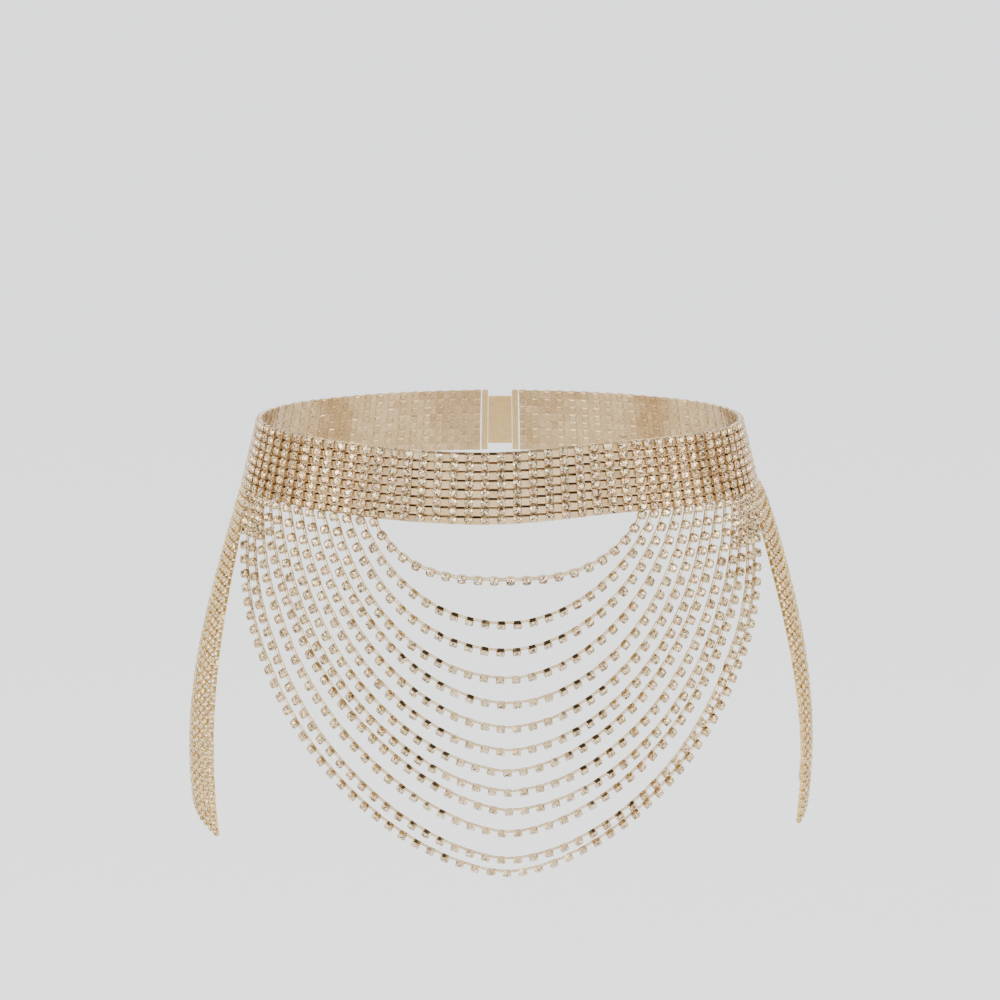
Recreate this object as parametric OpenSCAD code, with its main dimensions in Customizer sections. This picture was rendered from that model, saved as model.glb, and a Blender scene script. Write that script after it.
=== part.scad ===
// Waist chain of rhinestone cup chain. A woven band goes round the waist, thirteen U-shaped
// swags hang from its front, a fringe of straight strands hangs at each hip, and a plain clasp
// closes the band at the back.
// The origin is the middle of the waist loop, halfway up the band where it runs level at the
// sides and the back. The front faces -Y.
// Places on the worn form are given as [s, z]: s is the length round the waist loop from the
// front centre, positive to the right (+X), and z is the height.

/* [Waist loop] */
// Half width of the loop at the band's top edge, on the skin side
waist_half_w = 118; // [110:0.5:132]
// Half depth of the loop at the band's top edge, on the skin side
waist_half_d = 88; // [80:0.5:98]
// Radius of the loop's two side arcs
side_r = 71; // [62:0.5:77]

/* [Hips] */
// How far the worn form widens from the band's top edge to the hips, on each side
hip_flare = 36; // [20:0.5:44]
// Depth of the widest level below the band's top edge
hip_level = 172; // [140:1:210]

/* [Band] */
// Rows of cup chain in the band
row_count = 8; // [6:1:10]
// Distance between two rows
row_pitch = 4.12; // [3.9:0.02:4.4]
// Thickness of the band, which is that of a cup and its stone
band_t = 3; // [2.4:0.1:3.6]
// How far the band sags below its level at the front
front_dip = 3.7; // [0:0.1:8]
// Where it hangs lowest, as a length from the front centre, negative to the left
dip_at = -10; // [-30:1:30]
// Length over which it rises to its level on the left
dip_left = 140; // [80:5:170]
// Length over which it rises to its level on the right
dip_right = 70; // [60:5:170]

/* [Chain] */
// Diameter of the tube that stands for a strand of cup chain
chain_d = 3; // [2.4:0.1:3.4]
// Clear distance between pieces that meet
gap = 0.3; // [0.2:0.05:0.5]

/* [Front swags] */
// Depth of the lowest swag below the level of the band's lower edge
swag_drop = 165; // [130:1:185]
// Length of the bare stretch of band left of the centre, up to the first swag
bare_left = 57.4; // [50:0.1:64]
// Length of the bare stretch of band right of the centre, up to the first swag
bare_right = 65.7; // [58:0.1:72]
// Distance between two swags on the left, along the loop
left_pitch = 6.75; // [6.2:0.05:7.4]
// Distance between two swags on the right, along the loop
right_pitch = 6.15; // [6:0.05:7]
// How far to the right of the centre the swags have their lowest point
swag_lean = 3; // [0:0.5:6]

/* [Hip strands] */
// Strands at each hip
hip_count = 9; // [6:1:10]
// Distance between two hip strands, along the loop
hip_pitch = 4.1; // [3.9:0.05:4.5]
// Depth of the foremost hip strand's free end below the band
hip_drop = 168; // [130:1:185]
// How much shorter each hip strand is than the one in front of it
hip_step = 1; // [0:0.1:2]
// How far the left strands swing forward on their way down
lean_left = 17; // [0:0.5:18]
// How far the right strands swing forward on their way down
lean_right = 2; // [0:0.5:18]
// How far the hindmost left strand stands out from the form
bulge_left = 1; // [0:0.5:7]
// How far the hindmost right strand stands out from the form
bulge_right = 5.5; // [0:0.5:7]

/* [Closing] */
// Width of the bar that each end of the band is fixed to
bar_w = 3; // [2:0.5:5]
// Width of the clasp between the two bars
clasp_w = 12; // [8:0.5:20]
// Height of the clasp
clasp_h = 26; // [12:1:28]

/* [Hidden] */
band_h = row_count * row_pitch;
band_top = band_h / 2;
band_bottom = -band_h / 2;

// The loop is an oval of four arcs. The front and back arcs meet the side arcs at this
// heading, the angle of the outward direction from straight ahead.
front_r = (pow(waist_half_w - side_r, 2) / (waist_half_d - side_r) + side_r + waist_half_d) / 2;
turn = atan2(waist_half_w - side_r, front_r - waist_half_d);
deg = 180 / PI;
front_len = front_r * turn / deg;
side_len = front_len + side_r * (90 - turn) / deg;

// Share of the flare that starts at the waist at once, where the rest eases in
early_flare = 0.65;

// Rings of a strand's tube are this many diameters apart, and have this many sides
ring_step = 3 * chain_d;
sides = 8;
// Steps in which a swag's curve is measured
fine = 160;
// Distance between the band's sections
band_step = 8;

gold = [0.85, 0.72, 0.55];
dark_gold = [0.74, 0.58, 0.40];

// How steeply the swags leave the band: at 1 they keep their slope, and less bends their
// ends straight down
end_bend = 0.87;

// A hip strand's bulge follows the sine of an angle that grows to bulge_turn at its free end,
// and bulge_power below 1 draws its fullest part up towards the band
bulge_turn = 160;
bulge_power = 0.4;

// A row for each front swag, from the top down: its drop as a share of swag_drop, and how
// squarely its left and right halves hang, where 2 is a plain arc and more is squarer
DROP = 0;
LEFT = 1;
RIGHT = 2;
SWAGS = [
    // drop, left, right
    [0.174, 3.10, 2.75],
    [0.296, 2.12, 1.86],
    [0.370, 2.06, 1.82],
    [0.446, 1.98, 1.80],
    [0.515, 1.80, 1.84],
    [0.582, 1.75, 1.80],
    [0.646, 1.71, 1.78],
    [0.705, 1.70, 1.72],
    [0.762, 1.66, 1.78],
    [0.817, 1.56, 1.81],
    [0.881, 1.60, 1.70],
    [0.960, 1.65, 1.76],
    [1.000, 1.68, 1.68],
];

function two_digits(n) = n < 10 ? str("0", n) : str(n);
function swag_name(i) = str("front_swag_", two_digits(i + 1));
function hip_name(side, k) = str("hip_strand_", side < 0 ? "left_" : "right_", two_digits(k + 1));

// The worn form

// How far the form stands out from the waist loop at height z
function flare(z) =
    let (u = (band_top - z) / hip_level)
    hip_flare * (early_flare * sin(90 * u) + (1 - early_flare) * (1 - cos(180 * u)) / 2);

// How far the band lies below its level at s
function dip(s) =
    let (run = min(1, s < dip_at ? (dip_at - s) / dip_left : (s - dip_at) / dip_right))
    front_dip * (1 - run * run * (3 - 2 * run));

// Where a strand that hangs from the band at s begins
function strand_top(s) = band_bottom - dip(s) - gap;

// The outward direction at s, as an angle from straight ahead
function heading(s) =
    s < 0 ? -heading(-s)
    : s > side_len ? 180 - heading(2 * side_len - s)
    : s <= front_len ? s / front_r * deg
    : turn + (s - front_len) / side_r * deg;

// The point at s and z, at a distance of out from the form's surface
function spot(s, z, out) =
    let (
        h = heading(s),
        reach = flare(z) + out,
        from_front = min(abs(s), 2 * side_len - abs(s)),
        on_side = from_front > front_len,
        r = (on_side ? side_r : front_r) + reach,
        x0 = on_side ? sign(s) * (waist_half_w - side_r) : 0,
        y0 = on_side ? 0 : sign(cos(h)) * (front_r - waist_half_d)
    )
    [x0 + r * sin(h), y0 - r * cos(h), z];

// The strands

function unit(v) = v / norm(v);

// The eight corners of a tube's ring round a centre, square to the way that the tube runs
function ring(centre, way, h) =
    let (
        across = unit(cross(way, [sin(h), -cos(h), 0])),
        up = unit(cross(across, way))
    )
    [for (k = [0:sides - 1])
        centre + chain_d / 2 * (cos(360 * k / sides) * up + sin(360 * k / sides) * across)];

// A solid swept through rings that have the same number of corners each
module sweep(rings) {
    n = len(rings[0]);
    last = len(rings) - 1;
    walls = [for (i = [0:last - 1], k = [0:n - 1])
        let (a = i * n + k, b = i * n + (k + 1) % n)
        [a, b, b + n, a + n]];
    first_end = [for (k = [n - 1:-1:0]) k];
    last_end = [for (k = [0:n - 1]) last * n + k];
    polyhedron(points = [for (r = rings) each r], faces = concat(walls, [first_end, last_end]));
}

// A tube along a path of [s, z, distance from the form], with level ends. It starts downwards,
// and end_way says whether it ends downwards (-1) or upwards (1).
module strand(path, end_way) {
    last = len(path) - 1;
    centres = [for (p = path) spot(p[0], p[1], p[2] + chain_d / 2)];
    sweep([for (i = [0:last])
        let (way = i == 0 ? [0, 0, -1] : i == last ? [0, 0, end_way] : centres[i + 1] - centres[i - 1])
        ring(centres[i], unit(way), heading(path[i][0]))]);
}

// Front swags

// Where swag i leaves the band on a side
function swag_end(i, side) = side < 0 ? -bare_left - i * left_pitch : bare_right + i * right_pitch;

// The path of swag i at t, which runs from -1 at its left end to 1 at its right end
function swag_at(i, t) =
    let (
        end = swag_end(i, t),
        low = band_bottom - gap - SWAGS[i][DROP] * swag_drop,
        climb = 1 - pow(1 - pow(abs(t), SWAGS[i][t < 0 ? LEFT : RIGHT]), end_bend)
    )
    [swag_lean + abs(t) * (end - swag_lean), low + climb * (strand_top(end) - low), 0];

// Swag i in even steps
function swag_path(i) =
    let (
        times = [for (k = [0:fine]) 2 * k / fine - 1],
        points = [for (t = times) let (p = swag_at(i, t)) spot(p[0], p[1], chain_d / 2)],
        lengths = [for (k = 0, sum = 0; k <= fine;
            k = k + 1, sum = k <= fine ? sum + norm(points[k] - points[k - 1]) : sum) sum],
        time_at = [for (k = [0:fine]) [lengths[k], times[k]]],
        rings = ceil(lengths[fine] / ring_step)
    )
    [for (k = [0:rings]) swag_at(i, lookup(lengths[fine] * k / rings, time_at))];

module front_swag(i) {
    color(gold) strand(swag_path(i), 1);
}

// Hip strands

// Where strand k of a hip leaves the band: behind the outermost swag, and further back each
function hip_start(side, k) = swag_end(len(SWAGS) - 1, side) + side * (k + 1) * hip_pitch;

// How far a strand stands out at a share u of the drop, as a share of its most
function bulge(u) = sin(bulge_turn * pow(u, bulge_power));

module hip_strand(side, k) {
    drop = hip_drop - k * hip_step;
    rings = ceil(drop / ring_step);
    lean = side < 0 ? lean_left : lean_right;
    most = (side < 0 ? bulge_left : bulge_right) * k / (hip_count - 1);
    start = hip_start(side, k);
    path = [for (j = [0:rings])
        let (u = j / rings)
        [start - side * lean * sin(90 * u), strand_top(start) - u * drop, most * bulge(u)]];
    color(gold) strand(path, -1);
}

// Band and closing

// Lengths along the back, from its middle to where the clasp, a bar and the band begin
clasp_edge = clasp_w / 2;
bar_edge = clasp_edge + gap;
band_edge = bar_edge + bar_w + gap;

// The band's wall is straight from its top edge to its bottom edge
module waist_band() {
    reach = 2 * side_len - band_edge;
    steps = ceil(2 * reach / band_step);
    color(gold) sweep([for (i = [0:steps])
        let (s = reach * (2 * i / steps - 1), down = [0, 0, -dip(s)])
        [spot(s, band_top, 0) + down, spot(s, band_top, band_t) + down,
            spot(s, band_bottom, band_t) + down, spot(s, band_bottom, 0) + down]]);
}

// A stretch of wall at the back in line with the band, between two lengths from the middle
module back_wall(from, to, height) {
    high = height / 2;
    function wall_r(z) = front_r + flare(band_bottom) * (band_top - z) / band_h;
    translate([0, waist_half_d - front_r]) rotate(90 + from / front_r * deg)
        rotate_extrude(angle = (to - from) / front_r * deg, $fn = 180)
            polygon([
                [wall_r(high), high],
                [wall_r(high) + band_t, high],
                [wall_r(-high) + band_t, -high],
                [wall_r(-high), -high],
            ]);
}

// The bar on side -1 lies at -X, and the bar on side 1 at +X
module end_bar(side) {
    from = side < 0 ? bar_edge : -bar_edge - bar_w;
    color(dark_gold) back_wall(from, from + bar_w, band_h);
}

module clasp() {
    color(dark_gold) back_wall(-clasp_edge, clasp_edge, clasp_h);
}

waist_band();
for (i = [0:len(SWAGS) - 1])
    front_swag(i);
for (side = [-1, 1], k = [0:hip_count - 1])
    hip_strand(side, k);
end_bar(-1);  // end_bar_left
end_bar(1);  // end_bar_right
clasp();
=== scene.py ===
import math

import bpy
import numpy as np
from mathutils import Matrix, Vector


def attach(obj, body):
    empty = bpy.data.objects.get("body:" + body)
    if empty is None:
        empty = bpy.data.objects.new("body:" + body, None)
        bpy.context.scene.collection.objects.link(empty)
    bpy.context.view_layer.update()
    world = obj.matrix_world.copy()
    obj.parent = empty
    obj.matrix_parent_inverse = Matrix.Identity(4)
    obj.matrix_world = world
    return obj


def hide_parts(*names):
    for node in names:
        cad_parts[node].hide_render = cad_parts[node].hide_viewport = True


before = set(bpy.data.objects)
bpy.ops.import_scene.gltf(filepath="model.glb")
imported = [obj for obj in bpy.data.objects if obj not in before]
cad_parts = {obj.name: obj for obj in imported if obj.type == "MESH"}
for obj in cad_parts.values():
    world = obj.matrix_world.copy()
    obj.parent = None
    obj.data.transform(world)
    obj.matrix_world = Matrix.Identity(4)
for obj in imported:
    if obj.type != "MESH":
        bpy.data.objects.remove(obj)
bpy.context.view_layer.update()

# Strands and band are laid out in millimetres, and MM turns these into the scene's metres
MM = 0.001
UP, TO_FRONT = np.array([0, 0, 1.0]), np.array([0, -1.0, 0])
# As seen from the front, by the sign of x
SIDES = {-1: "left", 1: "right"}
WHITE = (1.0, 1.0, 1.0)
rng = np.random.default_rng(seed=41)

# The worn form, with the sizes that the part's source gives, in millimetres and degrees. A place
# on it is given by s, the way round from the middle of its front, left below zero, and z.

# The form at the band's top edge: half width, half depth, radius of its sides
WAIST_HALF_W, WAIST_HALF_D, SIDE_R = 118.0, 88.0, 71.0
# How much it widens on every side, how far down it does, and the share that comes early
HIP_FLARE, HIP_LEVEL, EARLY_FLARE = 36.0, 172.0, 0.65
# The band's dip: its depth, where it is deepest, and how far it reaches from there
FRONT_DIP, DIP_AT, DIP_LEFT, DIP_RIGHT = 3.7, -10.0, 140.0, 70.0
# The band's rows of stones, their pitch, and how thick its wall is
ROW_COUNT, ROW_PITCH, BAND_T = 8, 4.12, 3.0
# How thick a strand is, and the gap between pieces
CHAIN_D, GAP = 3.0, 0.3
# The drop of the lowest swag, where the swags are lowest, and how they bend down at their ends
SWAG_DROP, SWAG_LEAN, END_BEND = 165.0, 3.0, 0.87
# Where the ends of the top swag are, and the pitch of the next ones
BARE_LEFT, BARE_RIGHT, LEFT_PITCH, RIGHT_PITCH = 57.4, 65.7, 6.75, 6.15
# The hip strands: number and pitch, drop of the first, and how much shorter each next one is
HIP_COUNT, HIP_PITCH, HIP_DROP, HIP_STEP = 9, 4.1, 168.0, 1.0
# How far their ends hang nearer to the front
LEAN_LEFT, LEAN_RIGHT = 17.0, 2.0
# How far the last ones stand off the form at most, and how that changes on the way down
BULGE_LEFT, BULGE_RIGHT, BULGE_TURN, BULGE_POWER = 1.0, 5.5, 160.0, 0.4
# The widths of a bar and of the clasp
BAR_W, CLASP_W = 3.0, 12.0

BAND_H = ROW_COUNT * ROW_PITCH
BAND_TOP, BAND_BOTTOM = BAND_H / 2, -BAND_H / 2
# The wide arcs of front and back, and the heading at which they pass into the sides
FRONT_R = ((WAIST_HALF_W - SIDE_R) ** 2 / (WAIST_HALF_D - SIDE_R) + SIDE_R + WAIST_HALF_D) / 2
TURN = math.atan2(WAIST_HALF_W - SIDE_R, FRONT_R - WAIST_HALF_D)
# How far round from the front that heading, the widest place and the band's ends are
FRONT_LEN = FRONT_R * TURN
SIDE_LEN = FRONT_LEN + SIDE_R * (math.pi / 2 - TURN)
BAND_END = 2 * SIDE_LEN - (CLASP_W / 2 + GAP + BAR_W + GAP)

# Each swag: drop as a share of SWAG_DROP, squareness of its left and right halves, and how
# far its cups roll face down at the middle, in degrees
SWAGS = [
    (0.174, 3.10, 2.75, 16),
    (0.296, 2.12, 1.86, 50),
    (0.370, 2.06, 1.82, 50),
    (0.446, 1.98, 1.80, 58),
    (0.515, 1.80, 1.84, 59),
    (0.582, 1.75, 1.80, 60),
    (0.646, 1.71, 1.78, 60),
    (0.705, 1.70, 1.72, 61),
    (0.762, 1.66, 1.78, 61),
    (0.817, 1.56, 1.81, 62),
    (0.881, 1.60, 1.70, 63),
    (0.960, 1.65, 1.76, 62),
    (1.000, 1.68, 1.68, 61),
]


def flare(z):
    """How far the form at z lies outside its plan at the band's top edge."""
    u = (BAND_TOP - np.asarray(z, float)) / HIP_LEVEL
    early = EARLY_FLARE * np.sin(u * math.pi / 2)
    return HIP_FLARE * (early + (1 - EARLY_FLARE) * (1 - np.cos(u * math.pi)) / 2)


def wall_flare(z):
    """The same for the band's wall, which is straight from its top edge to its bottom edge."""
    return flare(BAND_BOTTOM) * (BAND_TOP - np.asarray(z, float)) / BAND_H


def dip(s):
    """How far the band lies below its level at s."""
    s = np.asarray(s, float)
    run = np.minimum(1, np.where(s < DIP_AT, (DIP_AT - s) / DIP_LEFT, (s - DIP_AT) / DIP_RIGHT))
    return FRONT_DIP * (1 - run * run * (3 - 2 * run))


def strand_top(s):
    """Where a strand that hangs from the band at s begins."""
    return BAND_BOTTOM - dip(s) - GAP


def heading(s):
    """The outward direction at s, in radians from straight ahead."""
    a = np.abs(np.asarray(s, float))
    front = np.minimum(a, 2 * SIDE_LEN - a)
    h = np.where(front <= FRONT_LEN, front / FRONT_R, TURN + (front - FRONT_LEN) / SIDE_R)
    return np.sign(s) * np.where(a > SIDE_LEN, math.pi - h, h)


def outward(s):
    h = heading(s)
    return np.stack([np.sin(h), -np.cos(h), np.zeros_like(h)], axis=-1)


def spot(s, z, out, on_wall=False):
    """The point at s and z, out from the form's surface. On the band's wall, z is measured
    from the band's own middle line."""
    s, z = np.asarray(s, float), np.asarray(z, float)
    h = heading(s)
    a = np.abs(s)
    on_side = np.minimum(a, 2 * SIDE_LEN - a) > FRONT_LEN
    r = np.where(on_side, SIDE_R, FRONT_R) + (wall_flare(z) if on_wall else flare(z)) + out
    x0 = np.where(on_side, np.sign(s) * (WAIST_HALF_W - SIDE_R), 0.0)
    y0 = np.where(on_side, 0.0, np.sign(np.cos(h)) * (FRONT_R - WAIST_HALF_D))
    level = np.broadcast_to(z - dip(s) if on_wall else z, r.shape)
    return np.stack([x0 + r * np.sin(h), y0 - r * np.cos(h), level], axis=-1)


def unit(v):
    return v / np.linalg.norm(v, axis=-1, keepdims=True)


# Templates of the shapes that repeat
class Template:
    """A small mesh in millimetres, to be copied many times. x runs along the chain, y across it
    and z outwards. Each face has a shade number: 0 is bare gold, a little more gives a deeper
    tone, and higher numbers are painted shade, up to 1 for the painted shade of a deep hollow.
    size is one factor for the whole mesh, or one for each axis."""

    def __init__(self, size=1.0):
        self.size = size
        self.verts, self.faces, self.shade, self.smooth = [], [], [], []

    def add_verts(self, points):
        start = len(self.verts)
        self.verts.extend([tuple(map(float, p)) for p in points])
        return list(range(start, start + len(points)))

    def face(self, ids, shade=0.0, smooth=False):
        self.faces.append(tuple(ids))
        self.shade.append(shade)
        self.smooth.append(smooth)

    def loft(self, rings, shades, smooth=False):
        """Rings of equal count, joined in turn and closed at both ends. shades has one number
        for each joint."""
        ids = [self.add_verts(r) for r in rings]
        n = len(ids[0])
        for low, high, shade in zip(ids, ids[1:], shades):
            for k in range(n):
                nxt = (k + 1) % n
                self.face((low[k], low[nxt], high[nxt], high[k]), shade, smooth)
        self.face(reversed(ids[0]), shades[0])
        self.face(ids[-1], shades[-1])

    def arrays(self):
        v = np.array(self.verts) * self.size
        total = np.array([len(f) for f in self.faces])
        loops = np.concatenate([np.array(f) for f in self.faces])
        return v, total, loops, np.array(self.shade), np.array(self.smooth)


def circle(n, r, z, turn=0.0):
    """A ring of n points, turned by a share of the step between two of them."""
    a = 2 * math.pi * (np.arange(n) + turn) / n
    return np.stack([r * np.cos(a), r * np.sin(a), np.full(n, z)], axis=-1)


def rounded_square(half, z, squareness, n=16):
    """A ring that is round at squareness 2 and nears a square as it grows."""
    a = 2 * math.pi * np.arange(n) / n
    c, s = np.cos(a), np.sin(a)
    return np.stack([half * np.sign(c) * np.abs(c) ** (2 / squareness),
                     half * np.sign(s) * np.abs(s) ** (2 / squareness), np.full(n, z)], axis=-1)


# Cups and stones are drawn for a cup of this half width, and then grow to their real size
DRAWN_R = 1.84


def add_prong(t, angle):
    """A prong that leans in over the stone, at this angle round the cup."""
    # out from the middle, height, half width, half thickness, lean in radians
    steps = [(1.96, -0.1, 0.28, 0.14, 0.0), (1.84, 0.88, 0.26, 0.14, 0.7),
             (1.42, 1.18, 0.18, 0.11, 1.2)]
    outer_share, low_shade, high_shade = 0.7, 0.15, 0.0
    radial = np.array([math.cos(angle), math.sin(angle), 0.0])
    across = np.array([-math.sin(angle), math.cos(angle), 0.0])
    rings = []
    for r, z, w, thick, lean in steps:
        out = radial * math.cos(lean) + UP * math.sin(lean)
        c = radial * r + UP * z
        rings.append([c - across * w - out * thick,
                      c + across * w - out * thick,
                      c + across * w * outer_share + out * thick,
                      c - across * w * outer_share + out * thick])
    t.loft(rings, [low_shade, high_shade])


def cup_template(half_w, bottom, stretch=1.0):
    """A square cup with flat walls and a round rim, and a prong at each corner."""
    t = Template(np.array([stretch, 1, 1]) * half_w / DRAWN_R)
    # half width, height, squareness: from the bottom up to the rim, and down inside it
    profile = [(1.45, bottom, 6), (1.72, bottom + 0.2, 6), (DRAWN_R, 0.42, 5), (1.80, 0.68, 2.6),
               (1.74, 0.80, 2), (1.66, 0.74, 2), (1.60, 0.2, 2)]
    # painted shade of the walls between one and the next: 0.12 gives the walls a deeper tone, and
    # higher numbers are painted shade under the cup, on its rim and inside it
    shades = [0.3, 0.12, 0.5, 0.4, 0.6, 0.7]
    t.loft([rounded_square(*p) for p in profile], shades)
    for k in range(4):
        add_prong(t, math.pi / 4 + k * math.pi / 2)
    return t


def stone_template(half_w, stretch=1.0):
    """A round stone for a cup of this half width, with an octagonal table, star, kite and
    girdle facets. The table is flat, in eight parts that each show another back facet."""
    t = Template(np.array([stretch, 1, 1]) * half_w / DRAWN_R)
    sides, table_r, star_r, girdle_r = 8, 0.88, 1.24, 1.68
    table_z, star_z, girdle_z, culet_z = 1.24, 1.03, 0.66, -0.6
    table = t.add_verts(circle(sides, table_r, table_z))
    star = t.add_verts(circle(sides, star_r, star_z, turn=0.5))
    girdle = t.add_verts(circle(2 * sides, girdle_r, girdle_z))
    middle, culet = t.add_verts([(0, 0, table_z), (0, 0, culet_z)])
    for k in range(sides):
        nxt, prev = (k + 1) % sides, (k - 1) % sides
        g0, g1, g2 = girdle[2 * k], girdle[2 * k + 1], girdle[2 * nxt]
        t.face((table[k], table[nxt], middle))
        t.face((table[k], star[k], table[nxt]))
        t.face((table[k], star[prev], g0, star[k]))
        t.face((star[k], g0, g1))
        t.face((star[k], g1, g2))
    for k in range(2 * sides):
        t.face((girdle[(k + 1) % (2 * sides)], girdle[k], culet))
    return t


def link_template():
    """A flat wire, narrower in the middle, from x = 0 to x = 1. It is stretched to the length
    that it has to span."""
    t = Template()
    end_w, middle_w, half_t, sides, shade = 0.96, 0.84, 0.60, 6, 0.1
    # place along the link, half width
    steps = [(0.0, end_w), (0.16, end_w), (0.36, middle_w), (0.64, middle_w), (0.84, end_w),
             (1.0, end_w)]
    angles = [2 * math.pi * (k + 0.5) / sides for k in range(sides)]
    rings = [[(x, w * math.cos(a), half_t * math.sin(a)) for a in angles] for x, w in steps]
    t.loft(rings, [shade] * (len(rings) - 1), smooth=True)
    return t


def filler_template(plate_painted_shade, ledge_painted_shade):
    """What lies between two columns of the band in one row: a plate that leans face down
    under a ledge. x runs from -0.5 to 0.5 and is stretched to the space to fill. The plate and
    the ledge get painted shade by their two numbers, and the edges, back and ends are painted
    darker as shade between the cups."""
    t = Template()
    # a little more than half a row, so that the rows overlap
    reach, back = ROW_PITCH * 0.51, -1.1
    # up the row, outwards, and the painted shade of the face from there to the next point
    profile = [(-reach, back, 0.7), (-reach, -0.75, plate_painted_shade), (0.72, 0.12, ledge_painted_shade),
               (1.82, -0.8, ledge_painted_shade), (reach, -0.8, 0.7), (reach, back, 0.3)]
    left, right = [t.add_verts([(x, y, z) for y, z, _ in profile]) for x in (-0.5, 0.5)]
    for k, (_, _, shade) in enumerate(profile):
        nxt = (k + 1) % len(profile)
        t.face((left[k], right[k], right[nxt], left[nxt]), shade)
    # painted shade on the ends, which face the cups
    end_shade = 0.6
    t.face(left, end_shade)
    t.face(reversed(right), end_shade)
    return t


def backing_template():
    """The strip behind one cup of the band, painted darker as the shade in the slits between the
    cups, with the cup's bottom raised on its back.
    """
    t = Template()
    half_w, half_h, back, front, shade = 1.9, ROW_PITCH * 0.52, -1.2, -0.95, 0.3
    corners = [(-half_w, -half_h), (half_w, -half_h), (half_w, half_h), (-half_w, half_h)]
    t.loft([[(x, y, z) for x, y in corners] for z in (back, front)], [shade])
    # half width, height, squareness: from the cup's bottom to the strip
    raised = [(1.3, -1.48, 4), (1.5, -1.34, 4), (1.5, -1.15, 4)]
    t.loft([rounded_square(*p) for p in raised], [shade, 0.4])
    return t


# Meshes from templates
TONE = "tone"


def face_tones(shade, copies):
    """A colour for each face of each copy: red is a random number for the face, green its
    shade, and blue a random number for the copy."""
    face_random = rng.random((copies, len(shade)))
    copy_random = rng.random((copies, 1))
    shape = face_random.shape
    tones = [face_random, np.broadcast_to(shade, shape), np.broadcast_to(copy_random, shape),
             np.ones(shape)]
    return np.stack(tones, axis=-1).reshape(-1, 4)


def add_mesh(name, verts, loops, totals, smooth, tones, material):
    """A mesh object. totals says how many corners each face has, and tones has a colour for
    each corner."""
    me = bpy.data.meshes.new(name)
    me.vertices.add(len(verts))
    me.vertices.foreach_set("co", verts.astype(np.float32).ravel())
    me.loops.add(len(loops))
    me.loops.foreach_set("vertex_index", loops.astype(np.int32))
    me.polygons.add(len(totals))
    starts = np.concatenate([[0], np.cumsum(totals)[:-1]])
    me.polygons.foreach_set("loop_start", starts.astype(np.int32))
    me.update(calc_edges=True)
    me.polygons.foreach_set("use_smooth", smooth)
    me.validate()
    layer = me.color_attributes.new(TONE, "FLOAT_COLOR", "CORNER")
    layer.data.foreach_set("color", tones.astype(np.float32).ravel())
    me.materials.append(material)
    ob = bpy.data.objects.new(name, me)
    bpy.context.scene.collection.objects.link(ob)
    return ob


def build(name, groups, material):
    """One mesh from groups of copies, each as (template, origins, frames, scales). frames holds
    the x, y and z directions as columns. scales has a factor for each axis, or is None."""
    verts, totals, loops, smooth, tones = [], [], [], [], []
    offset = 0
    for template, origins, frames, scales in groups:
        v, total, loop, shade, is_smooth = template.arrays()
        m = len(origins)
        local = v[None] * (scales[:, None, :] if scales is not None else 1.0)
        placed = np.einsum("mij,mnj->mni", frames, local) + origins[:, None]
        verts.append(placed.reshape(-1, 3) * MM)
        totals.append(np.tile(total, m))
        loops.append((loop[None] + (offset + np.arange(m) * len(v))[:, None]).ravel())
        smooth.append(np.tile(is_smooth, m))
        tones.append(np.repeat(face_tones(shade, m), np.tile(total, m), axis=0))
        offset += m * len(v)
    joined = [np.concatenate(v) for v in (verts, loops, totals, smooth, tones)]
    return add_mesh(name, *joined, material)


# Helpers for node materials
def new_material(name):
    mat = bpy.data.materials.new(name)
    mat.use_nodes = True
    nodes, links = mat.node_tree.nodes, mat.node_tree.links
    return mat, nodes, links, nodes["Principled BSDF"]


def ramp(nodes, links, source, stops, mode="LINEAR"):
    """The colour that a value picks from stops of a value and a colour."""
    node = nodes.new("ShaderNodeValToRGB")
    node.color_ramp.interpolation = mode
    marks = node.color_ramp.elements
    while len(marks) < len(stops):
        marks.new(0.5)
    for mark, (position, colour) in zip(marks, stops):
        mark.position = position
        mark.color = (*colour, 1)
    links.new(source, node.inputs[0])
    return node.outputs[0]


def map_range(nodes, links, source, old, new):
    """A value, moved from the range old to the range new."""
    node = nodes.new("ShaderNodeMapRange")
    for word, limits in (("From", old), ("To", new)):
        node.inputs[word + " Min"].default_value = limits[0]
        node.inputs[word + " Max"].default_value = limits[1]
    links.new(source, node.inputs["Value"])
    return node.outputs[0]


def multiply(nodes, links, first, *others):
    """The product of colours."""
    product = first
    for colour in others:
        node = nodes.new("ShaderNodeMix")
        node.data_type = "RGBA"
        node.blend_type = "MULTIPLY"
        # socket 0 is the factor, and 6 and 7 are the two colours
        node.inputs[0].default_value = 1.0
        links.new(product, node.inputs[6])
        links.new(colour, node.inputs[7])
        product = node.outputs[2]
    return product


def channels(nodes, links, colour):
    """Red, green and blue of a colour."""
    split = nodes.new("ShaderNodeSeparateColor")
    links.new(colour, split.inputs[0])
    return split.outputs[0], split.outputs[1], split.outputs[2]


def tone_channels(nodes, links):
    """What face_tones gives: the face's number, its shade and the copy's number."""
    attribute = nodes.new("ShaderNodeAttribute")
    attribute.attribute_name = TONE
    return channels(nodes, links, attribute.outputs["Color"])


def texture(nodes, links, kind, scale):
    """A texture node in object space. scale is about the number of its patches in a metre."""
    coord = nodes.new("ShaderNodeTexCoord")
    node = nodes.new(kind)
    node.inputs["Scale"].default_value = scale
    links.new(coord.outputs["Object"], node.inputs["Vector"])
    return node


def noise(nodes, links, scale, detail):
    node = texture(nodes, links, "ShaderNodeTexNoise", scale)
    node.inputs["Detail"].default_value = detail
    return node.outputs["Fac"]


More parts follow.
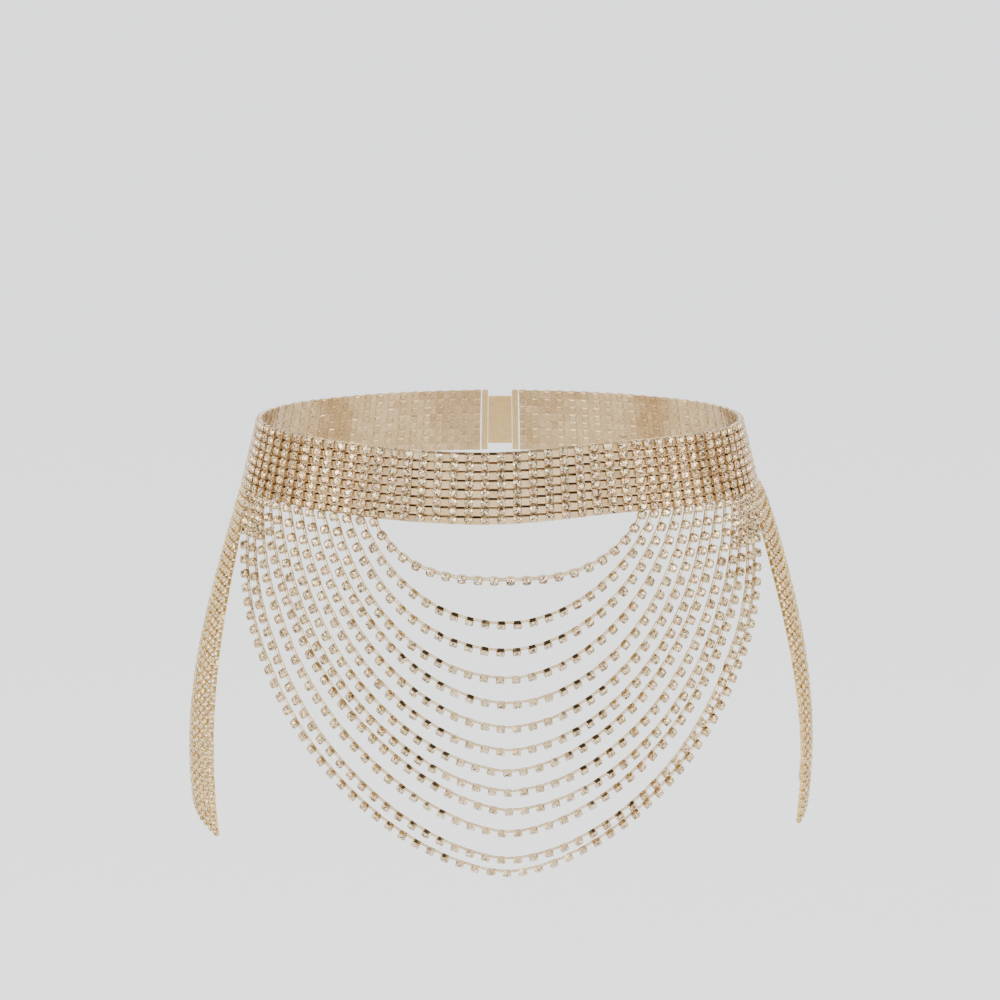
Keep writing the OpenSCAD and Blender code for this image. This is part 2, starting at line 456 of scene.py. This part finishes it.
# Materials
def gold_material(name, bright, mid, wall, rough=(0.08, 0.20)):
    """Polished thin plating: mottled tone, with a deeper one on the cups' walls, painted
    shade from brown to nearly black in the hollows, fine ripples."""
    mat, nodes, links, bsdf = new_material(name)
    _, shade, copy = tone_channels(nodes, links)
    mottle = noise(nodes, links, scale=900, detail=3.0)
    tone = ramp(nodes, links, mottle, [(0.34, mid), (0.60, bright)])
    per_copy = ramp(nodes, links, copy, [(0.0, (0.82, 0.78, 0.70)), (1.0, WHITE)])
    # painted shade: the higher a face's shade number, the darker it is painted, down to nearly
    # black in deep hollows
    painted_hollow_shade = ramp(nodes, links, shade, [
        (0.0, WHITE),
        (0.12, wall),
        (0.5, (0.52, 0.47, 0.40)),
        (1.0, (0.11, 0.09, 0.075)),
    ])
    links.new(multiply(nodes, links, tone, per_copy, painted_hollow_shade), bsdf.inputs["Base Color"])
    bsdf.inputs["Metallic"].default_value = 1.0
    scuffs = noise(nodes, links, scale=2600, detail=2.0)
    links.new(map_range(nodes, links, scuffs, (0, 1), rough), bsdf.inputs["Roughness"])
    ripples = nodes.new("ShaderNodeBump")
    ripples.inputs["Strength"].default_value = 0.25
    ripples.inputs["Distance"].default_value = 0.02 * MM
    links.new(mottle, ripples.inputs["Height"])
    links.new(ripples.outputs[0], bsdf.inputs["Normal"])
    return mat


def foil_and_painted_reflection(nodes, links, middle, side):
    """The foil behind the stones, with painted reflection that turns it more to gold from the
    middle of the part to its sides.
    """
    start, end = 30.0, 110.0
    coord = nodes.new("ShaderNodeTexCoord")
    axes = nodes.new("ShaderNodeSeparateXYZ")
    links.new(coord.outputs["Object"], axes.inputs[0])
    from_middle = nodes.new("ShaderNodeMath")
    from_middle.operation = "ABSOLUTE"
    links.new(axes.outputs["X"], from_middle.inputs[0])
    share = map_range(nodes, links, from_middle.outputs[0], (start * MM, end * MM), (0, 1))
    return ramp(nodes, links, share, [(0.0, middle), (1.0, side)])


def painted_glints(nodes, links):
    """Painted glints: small patches of slightly other tones within the stones."""
    cells = texture(nodes, links, "ShaderNodeTexVoronoi", scale=1700)
    patch, _, _ = channels(nodes, links, cells.outputs["Color"])
    stops = [(0.0, (0.72, 0.66, 0.58)), (0.5, WHITE), (1.0, (0.86, 0.80, 0.72))]
    return ramp(nodes, links, patch, stops)


def crystal_material(name, foil_middle, foil_and_reflection_at_side, coat):
    """Clear cut glass over a foil, under a hard clear surface that also reflects the
    surroundings. Each facet is painted another patch of reflection, from near black to near
    white, and towards the sides the painted reflection turns more to gold."""
    mat, nodes, links, bsdf = new_material(name)
    facet, _, copy = tone_channels(nodes, links)
    # painted reflection: each facet gets a random step from near black to near white
    painted_sparkle = ramp(nodes, links, facet, [
        (0.00, (0.03, 0.025, 0.02)),
        (0.13, (0.16, 0.12, 0.08)),
        (0.28, (0.36, 0.28, 0.19)),
        (0.46, (0.60, 0.50, 0.36)),
        (0.64, (0.82, 0.73, 0.58)),
        (0.82, (1.0, 0.97, 0.92)),
    ], mode="CONSTANT")
    tint = ramp(nodes, links, copy, [
        (0.00, (1.0, 0.86, 0.84)),
        (0.35, (1.0, 0.97, 0.90)),
        (0.65, (0.92, 1.0, 0.86)),
        (1.00, (1.0, 0.92, 0.86)),
    ])
    # painted reflection of gold, growing towards the sides
    foil = foil_and_painted_reflection(nodes, links, foil_middle, foil_and_reflection_at_side)
    base = multiply(nodes, links, painted_sparkle, tint, foil, painted_glints(nodes, links))
    links.new(base, bsdf.inputs["Base Color"])
    bsdf.inputs["Metallic"].default_value = 0.85
    bsdf.inputs["Roughness"].default_value = 0.12
    bsdf.inputs["IOR"].default_value = 1.6
    bsdf.inputs["Coat Weight"].default_value = coat
    bsdf.inputs["Coat Roughness"].default_value = 0.02
    return mat


GOLD = gold_material("pale_gold", bright=(0.96, 0.80, 0.54), mid=(0.70, 0.54, 0.32),
                     wall=(0.60, 0.57, 0.52), rough=(0.05, 0.14))
GOLD_BAND = gold_material("band_gold", bright=(0.82, 0.64, 0.41), mid=(0.66, 0.50, 0.31),
                          wall=(0.74, 0.69, 0.60))
GOLD_HIP = gold_material("hip_gold", bright=(0.92, 0.74, 0.40), mid=(0.72, 0.54, 0.25),
                         wall=(0.76, 0.68, 0.52))
CRYSTAL = crystal_material("cut_crystal", foil_middle=(0.90, 0.86, 0.78),
                           foil_and_reflection_at_side=(1.0, 0.85, 0.60), coat=0.6)
CRYSTAL_BAND = crystal_material("band_crystal", foil_middle=(0.80, 0.74, 0.64),
                                foil_and_reflection_at_side=(1.0, 0.82, 0.57), coat=0.35)


# Strands
CUP_R, HIP_CUP_R = 2.06, 1.86
CUP_BOTTOM, SWAG_CUP_BOTTOM = -1.14, -1.6
# Cup, stone, pitch of the cups, and gold
SWAG_KIT = (cup_template(CUP_R, SWAG_CUP_BOTTOM), stone_template(CUP_R), 7.5, GOLD)
HIP_KIT = (cup_template(HIP_CUP_R, CUP_BOTTOM), stone_template(HIP_CUP_R), 4.4, GOLD_HIP)
LINK = link_template()

# How far from an end the next cup is, where a strand meets the band, and where a chain is free
FIRST_CUP, FREE_END = 1.6, CUP_R + 0.2
# How strongly the swags' cups turn from the form's outward direction to the front
FACE_FRONT = 3.0
# The cups' small random turns about the strand, across it and about their own axis, in degrees
ROLL_WOBBLE, NOD_WOBBLE, TWIST_WOBBLE = 1.8, 2.5, 3.0
# How far before and behind a cup its strand's direction is taken
LOOK_AHEAD = 0.5
# Where a link holds a cup, on the side ahead, and how much nearer to the upper wall that would
# be at a roll of 90 degrees
GRIP, GRIP_CLIMB = np.array([1.66, 0, -1.08]), 1.5
# Where the links at a strand's ends meet the band: how far above its end, and behind it
HOOK_UP, HOOK_BACK = GAP + 0.9, 0.95
# How many points a path is drawn with
SWAG_POINTS, HIP_POINTS = 401, 121

# At each side the band goes on below as rows that tie the outermost swags to the hip
# strands: the number of rows, their pitch, and the first swag that they take in
PANELS = {-1: (4, 4.6, 10), 1: (4, 5.7, 9)}
NO_ROWS = (0, 0.0)


def turn_about(axis, angle):
    """Rotation matrices about unit axes, by angles in radians."""
    c, s = np.cos(angle), np.sin(angle)
    x, y, z = axis[:, 0], axis[:, 1], axis[:, 2]
    k = np.zeros((len(angle), 3, 3))
    k[:, 0, 1], k[:, 0, 2], k[:, 1, 0], k[:, 1, 2], k[:, 2, 0], k[:, 2, 1] = -z, y, z, -x, -y, x
    return np.eye(3) + s[:, None, None] * k + (1 - c)[:, None, None] * (k @ k)


def frames_from(along, out):
    """Frames with x along one direction, and z as near to the other as it can be."""
    x = unit(along)
    z = unit(out - x * np.sum(out * x, axis=-1, keepdims=True))
    return np.stack([x, np.cross(z, x), z], axis=-1)


def links_between(starts, ends, outs, thickness=1.0):
    """A group of links that reach from starts to ends, their flat sides facing outs."""
    span = ends - starts
    reach = np.linalg.norm(span, axis=1)
    thick = np.full_like(reach, thickness)
    return LINK, starts, frames_from(span, outs), np.stack([reach, thick, thick], axis=-1)


def cup_places(length, first, last, pitch, rows_at_start, rows_at_end):
    """Distances of a strand's cups from its start. Where it runs in a panel of rows, given as
    their number and pitch, its cups follow them, and between these they are evenly spaced."""
    begin = first + rows_at_start[0] * rows_at_start[1]
    end = length - last - rows_at_end[0] * rows_at_end[1]
    between = np.linspace(begin, end, max(1, int(round((end - begin) / pitch))) + 1)
    return np.concatenate([np.linspace(first, begin, rows_at_start[0], endpoint=False), between,
                           np.linspace(length - last, end, rows_at_end[0], endpoint=False)[::-1]])


def place_cups(path, out_at, pitch, roll_deg, last, rows_at_start, rows_at_end):
    """Places and frames of the cups along a path. out_at has the outward direction at each of
    the path's points, and roll_deg is the roll face down where the path is level."""
    steps = np.linalg.norm(np.diff(path, axis=0), axis=1)
    length = np.concatenate([[0], np.cumsum(steps)])
    at = cup_places(length[-1], FIRST_CUP, last, pitch, rows_at_start, rows_at_end)

    def sample(values, where):
        return np.stack([np.interp(where, length, values[:, k]) for k in range(3)], axis=-1)

    points = sample(path, at)
    along = unit(sample(path, at + LOOK_AHEAD) - sample(path, at - LOOK_AHEAD))
    frames = frames_from(along, sample(out_at, at))
    level = np.clip(1 - along[:, 2] ** 2, 0, 1)
    sense = np.sign(frames[:, 2, 1])
    n = len(points)
    roll = sense * (np.radians(roll_deg) * level) + np.radians(rng.normal(0, ROLL_WOBBLE, n))
    frames = turn_about(frames[:, :, 0], roll) @ frames
    for axis, wobble in ((1, NOD_WOBBLE), (2, TWIST_WOBBLE)):
        frames = turn_about(frames[:, :, axis], np.radians(rng.normal(0, wobble, n))) @ frames
    return points, frames


def strand_links(path, points, frames, roll_deg, hangs_free):
    """Groups of links from cup to cup, and from the end cups to the band. The more a strand
    is rolled, the nearer its links run to the cups' upper walls."""
    grip = GRIP + [0, GRIP_CLIMB * math.sin(math.radians(roll_deg)), 0]
    ahead = points + frames @ grip
    behind = points + frames @ (grip * [-1, 1, 1])
    outs = frames[:, :, 2]
    first_hook = path[:1] + UP * HOOK_UP - outs[:1] * HOOK_BACK
    groups = [links_between(ahead[:-1], behind[1:], outs[1:] + outs[:-1]),
              links_between(first_hook, behind[:1], outs[:1])]
    if not hangs_free:
        last_hook = path[-1:] + UP * HOOK_UP - outs[-1:] * HOOK_BACK
        groups.append(links_between(ahead[-1:], last_hook, outs[-1:]))
    return groups


def swag_end(i, side):
    """Where a swag hangs from the band on one side, as s."""
    return -BARE_LEFT - i * LEFT_PITCH if side < 0 else BARE_RIGHT + i * RIGHT_PITCH


def swag_path(i):
    """A swag from left to right, as s, z and distance from the form."""
    drop, left, right, _ = SWAGS[i]
    # closer together towards the ends, where the swag bends down
    t = np.sin(np.linspace(-math.pi / 2, math.pi / 2, SWAG_POINTS))
    end = np.where(t < 0, swag_end(i, -1), swag_end(i, 1))
    climb = 1 - (1 - np.abs(t) ** np.where(t < 0, left, right)) ** END_BEND
    low = BAND_BOTTOM - GAP - drop * SWAG_DROP
    s = SWAG_LEAN + np.abs(t) * (end - SWAG_LEAN)
    return s, low + climb * (strand_top(end) - low), np.zeros_like(t)


def hip_start(side, k):
    """Where a hip strand hangs from the band, as s."""
    return swag_end(len(SWAGS) - 1, side) + side * (k + 1) * HIP_PITCH


def hip_path(side, k):
    """A hip strand from the band down, as s, z and distance from the form."""
    start = hip_start(side, k)
    u = np.linspace(0, 1, HIP_POINTS)
    lean, most = (LEAN_LEFT, BULGE_LEFT) if side < 0 else (LEAN_RIGHT, BULGE_RIGHT)
    bulge = most * k / (HIP_COUNT - 1) * np.sin(np.radians(BULGE_TURN) * u ** BULGE_POWER)
    z = strand_top(start) - u * (HIP_DROP - k * HIP_STEP)
    return start - side * lean * np.sin(u * math.pi / 2), z, bulge


def dress(node, piece):
    """Puts a piece in a node's place."""
    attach(piece, "root")
    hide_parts(node)


def add_strand(node, path, roll, hangs_free, rows_at_start=NO_ROWS, rows_at_end=NO_ROWS):
    """A strand along a path of s, z and distance from the form. One that hangs free ends in
    a cup, and the others reach the band again. It gives its cups' places and frames."""
    cup, stone, pitch, metal = HIP_KIT if hangs_free else SWAG_KIT
    s, z, clear = path
    line = spot(s, z, clear + CHAIN_D / 2)
    last = FREE_END if hangs_free else FIRST_CUP
    faces = unit(outward(s) + (0.0 if hangs_free else FACE_FRONT) * TO_FRONT)
    points, frames = place_cups(line, faces, pitch, roll, last, rows_at_start, rows_at_end)
    chain = [(cup, points, frames, None)] + strand_links(line, points, frames, roll, hangs_free)
    dress(node, build(node + "_chain", chain, metal))
    dress(node, build(node + "_stones", [(stone, points, frames, None)], CRYSTAL))
    return points, frames


def add_swags(in_rows):
    """The swags. Their cups in the panels' rows are added to in_rows."""
    for i, (_, _, _, roll) in enumerate(SWAGS):
        rows = {side: PANELS[side][:2] if i >= PANELS[side][2] else NO_ROWS for side in SIDES}
        points, frames = add_strand(f"front_swag_{i + 1:02d}", swag_path(i), roll, hangs_free=False,
                                    rows_at_start=rows[-1], rows_at_end=rows[1])
        for side in SIDES:
            count = rows[side][0]
            if count:
                order = slice(0, count) if side < 0 else slice(None, -count - 1, -1)
                in_rows[side].append((points[order], frames[order]))


def add_hip_strands(side, in_rows):
    """The strands at one hip. Their cups in the panel's rows are added to in_rows."""
    rows = PANELS[side][:2]
    for k in range(HIP_COUNT):
        node = f"hip_strand_{SIDES[side]}_{k + 1:02d}"
        points, frames = add_strand(node, hip_path(side, k), roll=0.0, hangs_free=True,
                                    rows_at_start=rows)
        in_rows[side].append((points[:rows[0]], frames[:rows[0]]))


def add_rails(side, strands):
    """Wires that run from strand to strand, half a row below each of their cups in rows."""
    drop, lift, thickness = PANELS[side][1] / 2, 0.5, 0.7
    starts, ends, outs = [], [], []
    for (a, frames_a), (b, frames_b) in zip(strands, strands[1:]):
        starts.append(a - UP * drop)
        ends.append(b - UP * drop)
        outs.append(frames_a[:, :, 2] + frames_b[:, :, 2])
    starts, ends, outs = (np.concatenate(v) for v in (starts, ends, outs))
    lifted = unit(outs) * lift
    wires = links_between(starts + lifted, ends + lifted, outs, thickness)
    rails = build("panel_rails_" + SIDES[side], [wires], GOLD)
    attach(rails, "root")


cups_in_rows = {side: [] for side in SIDES}
add_swags(cups_in_rows)
for side in SIDES:
    add_hip_strands(side, cups_in_rows)
    add_rails(side, cups_in_rows[side])


# Band
# Spaces between columns at the front between the top swag's ends, and on each side of the back
MIDDLE_SPACES, BACK_SPACES = 17, 21
# The outer columns above the swags have cups that are wider than high by this factor. They
# begin here, measured from the front, and end this far before the hip strands.
WIDE, WIDE_FROM, WIDE_MARGIN = 1.15, 40.0, 3
WIDE_TO = min(abs(hip_start(side, 0)) for side in SIDES) - WIDE_MARGIN
# The band's stones fill their cups a little more than those of the strands
BAND_STONE_R = CUP_R * 1.06
BAND_CUP, BAND_STONE = cup_template(CUP_R, CUP_BOTTOM), stone_template(BAND_STONE_R)
WIDE_CUP, WIDE_STONE = cup_template(CUP_R, CUP_BOTTOM, WIDE), stone_template(BAND_STONE_R, WIDE)
BACKING = backing_template()
# Between the columns, with painted light and shade: in painted full light with a ledge painted dark
# as shade, the same with a lit ledge, and in painted shade
FILLERS = [filler_template(0.14, 0.85), filler_template(0.14, 0.4), filler_template(0.38, 0.62)]
# the share of fillers in painted full light whose ledge is painted dark as shade, and how far the
# fillers overlap the cups
PAINTED_DARK_LEDGE_SHARE, FILLER_OVERLAP = 0.62, 0.3
# Where the painted shade sets in, and where it is everywhere, measured from the front
PAINTED_SHADE_FROM, PAINTED_SHADE_FULL = 34.0, 58.0
# How much a whole column and a single place in it count where the two mix
COLUMN_LUCK, PLACE_LUCK = 0.8, 0.2
# Small random turns of the cups and of the plates between them, in degrees
CUP_WOBBLE, FILLER_WOBBLE = 4.0, 1.5

ROW_Z = BAND_TOP - ROW_PITCH * (np.arange(ROW_COUNT) + 0.5)
WALL_TILT = math.atan2(float(flare(BAND_BOTTOM)), BAND_H)


def band_columns():
    """Where the columns of stones stand, in line with the strands that hang from them."""
    last = BAND_END - FREE_END
    found = list(np.linspace(swag_end(0, -1), swag_end(0, 1), MIDDLE_SPACES + 1))[1:-1]
    for side in SIDES:
        strands = [swag_end(i, side) for i in range(len(SWAGS))]
        strands += [hip_start(side, k) for k in range(HIP_COUNT)]
        found += strands + list(np.linspace(strands[-1], side * last, BACK_SPACES + 1))[1:]
    return np.array(sorted(found))


def is_wide(s):
    return (np.abs(s) > WIDE_FROM) & (np.abs(s) < WIDE_TO)


def band_frames(s, roll):
    """Frames on the band's wall, turned by roll about the band's run."""
    out = outward(s)
    up = np.broadcast_to(UP, out.shape)
    along = np.cross(up, out)
    frames = np.stack([along, up, out], axis=-1)
    return turn_about(along, -WALL_TILT + roll) @ frames


def band_cups(mine):
    """s, places and frames of the cups in these columns, column by column."""
    s, z = np.repeat(COLUMNS[mine], ROW_COUNT), np.tile(ROW_Z, len(mine))
    points = spot(s, z, BAND_T / 2, on_wall=True)
    of_column = np.repeat(rng.normal(0, CUP_WOBBLE, len(mine)), ROW_COUNT)
    frames = band_frames(s, np.radians(of_column + rng.normal(0, CUP_WOBBLE, len(s))))
    twist = np.radians(rng.normal(0, CUP_WOBBLE, len(s)))
    return s, points, turn_about(frames[:, :, 2], twist) @ frames


def pick_fillers(s, column_count):
    """The number of a filler for each place, in more painted shade the further it is from the
    front.
    """
    painted_shade_share = np.clip((np.abs(s) - PAINTED_SHADE_FROM) / (PAINTED_SHADE_FULL - PAINTED_SHADE_FROM), 0, 1)
    of_column = np.repeat(rng.random(column_count), ROW_COUNT)
    luck = COLUMN_LUCK * of_column + PLACE_LUCK * rng.random(len(s))
    return np.where(luck < painted_shade_share, 2, np.where(rng.random(len(s)) < PAINTED_DARK_LEDGE_SHARE, 0, 1))


def filler_groups(mine):
    """The plates to the right of these columns, stretched from cup to cup."""
    gaps = [c for c in mine if c + 1 < len(COLUMNS)]
    before, behind = COLUMNS[gaps], COLUMNS[[c + 1 for c in gaps]]
    s = np.repeat((before + behind) / 2, ROW_COUNT)
    half_step = np.repeat(behind - before, ROW_COUNT) / 2
    z = np.tile(ROW_Z, len(gaps))
    left, points, right = [spot(s + sign * half_step, z, BAND_T / 2, on_wall=True)
                           for sign in (-1, 0, 1)]
    cup_w = np.where(is_wide(s), WIDE, 1.0) * 2 * CUP_R
    width = np.linalg.norm(right - left, axis=1) - cup_w + FILLER_OVERLAP
    scales = np.stack([width, np.ones_like(width), np.ones_like(width)], axis=-1)
    frames = band_frames(s, np.radians(rng.normal(0, FILLER_WOBBLE, len(s))))
    pick = pick_fillers(s, len(gaps))
    return [(filler, points[pick == kind], frames[pick == kind], scales[pick == kind])
            for kind, filler in enumerate(FILLERS)]


def add_band_section(word, low, high):
    """The band's columns from s = low up to s = high."""
    mine = [c for c in range(len(COLUMNS)) if low <= COLUMNS[c] < high]
    s, points, frames = band_cups(mine)
    wide = is_wide(s)
    chain = [(BAND_CUP, points[~wide], frames[~wide], None),
             (WIDE_CUP, points[wide], frames[wide], None),
             (BACKING, points, band_frames(s, np.zeros_like(s)), None)]
    chain += filler_groups(mine)
    stones = [(BAND_STONE, points[~wide], frames[~wide], None),
              (WIDE_STONE, points[wide], frames[wide], None)]
    dress("waist_band", build("band_chain_" + word, chain, GOLD_BAND))
    dress("waist_band", build("band_stones_" + word, stones, CRYSTAL_BAND))


COLUMNS = band_columns()
add_band_section("back_left", -math.inf, -SIDE_LEN)
add_band_section("front_left", -SIDE_LEN, 0.0)
add_band_section("front_right", 0.0, SIDE_LEN)
add_band_section("back_right", SIDE_LEN, math.inf)


# Bars and clasp keep their solids
FITTING = gold_material("fitting_gold", bright=(0.70, 0.52, 0.26), mid=(0.58, 0.41, 0.18),
                        wall=(0.8, 0.8, 0.8), rough=(0.16, 0.3))
for node in ("end_bar_left", "end_bar_right", "clasp"):
    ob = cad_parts[node]
    ob.data.materials.clear()
    ob.data.materials.append(FITTING)


# Camera, floor and light, in metres
TARGET = Vector((0, 0, -0.0263))
CAMERA_DISTANCE, CAMERA_ELEVATION = 1.5, math.radians(10.4)
# These two are in millimetres
SENSOR_W, LENS = 36, 108
FLOOR_REACH, FLOOR_Z = 150.0, -0.42


def add_camera():
    data = bpy.data.cameras.new("camera")
    data.sensor_width = SENSOR_W
    data.lens = LENS
    ob = bpy.data.objects.new("camera", data)
    back = Vector((0, -math.cos(CAMERA_ELEVATION), math.sin(CAMERA_ELEVATION)))
    ob.location = TARGET + back * CAMERA_DISTANCE
    ob.rotation_euler = (math.pi / 2 - CAMERA_ELEVATION, 0, 0)
    bpy.context.scene.collection.objects.link(ob)
    bpy.context.scene.camera = ob


def paper_material():
    mat, nodes, links, bsdf = new_material("paper")
    grain = noise(nodes, links, scale=260, detail=4.0)
    tone = ramp(nodes, links, grain, [(0.3, (0.965, 0.972, 0.98)), (0.7, (0.98, 0.985, 0.99))])
    links.new(tone, bsdf.inputs["Base Color"])
    bsdf.inputs["Roughness"].default_value = 0.85
    return mat


def add_floor():
    """A plain pale floor that reaches far behind the part."""
    corners = [(-1, -1), (1, -1), (1, 1), (-1, 1)]
    me = bpy.data.meshes.new("floor")
    verts = [(x * FLOOR_REACH, y * FLOOR_REACH, FLOOR_Z) for x, y in corners]
    me.from_pydata(verts, [], [(0, 1, 2, 3)])
    me.materials.append(paper_material())
    ob = bpy.data.objects.new("floor", me)
    bpy.context.scene.collection.objects.link(ob)


def add_light(name, place, size, watts, colour):
    """A rectangular light that is turned to the part."""
    data = bpy.data.lights.new(name, "AREA")
    data.shape = "RECTANGLE"
    data.size, data.size_y = size
    data.energy = watts
    data.color = colour
    ob = bpy.data.objects.new(name, data)
    ob.location = place
    ob.rotation_euler = (TARGET - Vector(place)).to_track_quat("-Z", "Y").to_euler()
    bpy.context.scene.collection.objects.link(ob)


# The pale surroundings' strength, and the dark gap in their ceiling, in degrees: how far its
# middle lies behind the point overhead, its half width, and where its edge starts and ends,
# measured outwards from that half width
WORLD_STRENGTH = 2.7
DARK_BEHIND, DARK_HALF_WIDTH, DARK_EDGE = -8.0, 13.0, (2.0, -1.0)


def add_world():
    """Pale all round, with a dark gap in the ceiling from left to right, which the polished
    walls of the cups pick up at one angle."""
    world = bpy.data.worlds.new("studio")
    world.use_nodes = True
    nodes, links = world.node_tree.nodes, world.node_tree.links
    background = nodes["Background"]
    coord = nodes.new("ShaderNodeTexCoord")

    def vector_step(operation, source, value=None):
        step = nodes.new("ShaderNodeVectorMath")
        step.operation = operation
        links.new(source, step.inputs[0])
        if value:
            step.inputs[1].default_value = value
        return step.outputs["Value" if operation == "DOT_PRODUCT" else "Vector"]

    flat = vector_step("MULTIPLY", coord.outputs["Generated"], (0, 1, 1))
    sideless = vector_step("NORMALIZE", flat)
    behind = math.radians(DARK_BEHIND)
    nearness = vector_step("DOT_PRODUCT", sideless, (0, math.sin(behind), math.cos(behind)))
    edge = [math.cos(math.radians(DARK_HALF_WIDTH + outwards)) for outwards in DARK_EDGE]
    share = map_range(nodes, links, nearness, edge, (0, 1))
    tone = ramp(nodes, links, share, [(0.0, (0.875, 0.885, 0.905)), (1.0, (0.048, 0.043, 0.040))])
    links.new(tone, background.inputs["Color"])
    background.inputs["Strength"].default_value = WORLD_STRENGTH
    bpy.context.scene.world = world


add_camera()
add_floor()
# name, place, width and height, watts, colour
add_light("key", (-1.0, -1.5, 1.0), (1.2, 1.2), 13, (1.0, 0.98, 0.95))
add_light("fill", (1.3, -1.3, 0.6), (1.0, 1.2), 9, (1.0, 0.97, 0.94))
add_light("side_left", (-1.7, -0.7, 0.35), (0.9, 0.9), 14, (1.0, 0.95, 0.87))
add_light("side_right", (1.7, -0.7, 0.35), (0.9, 0.9), 14, (1.0, 0.95, 0.87))
add_light("low_front", (0.0, -1.9, -0.1), (1.6, 0.3), 6, WHITE)
add_world()
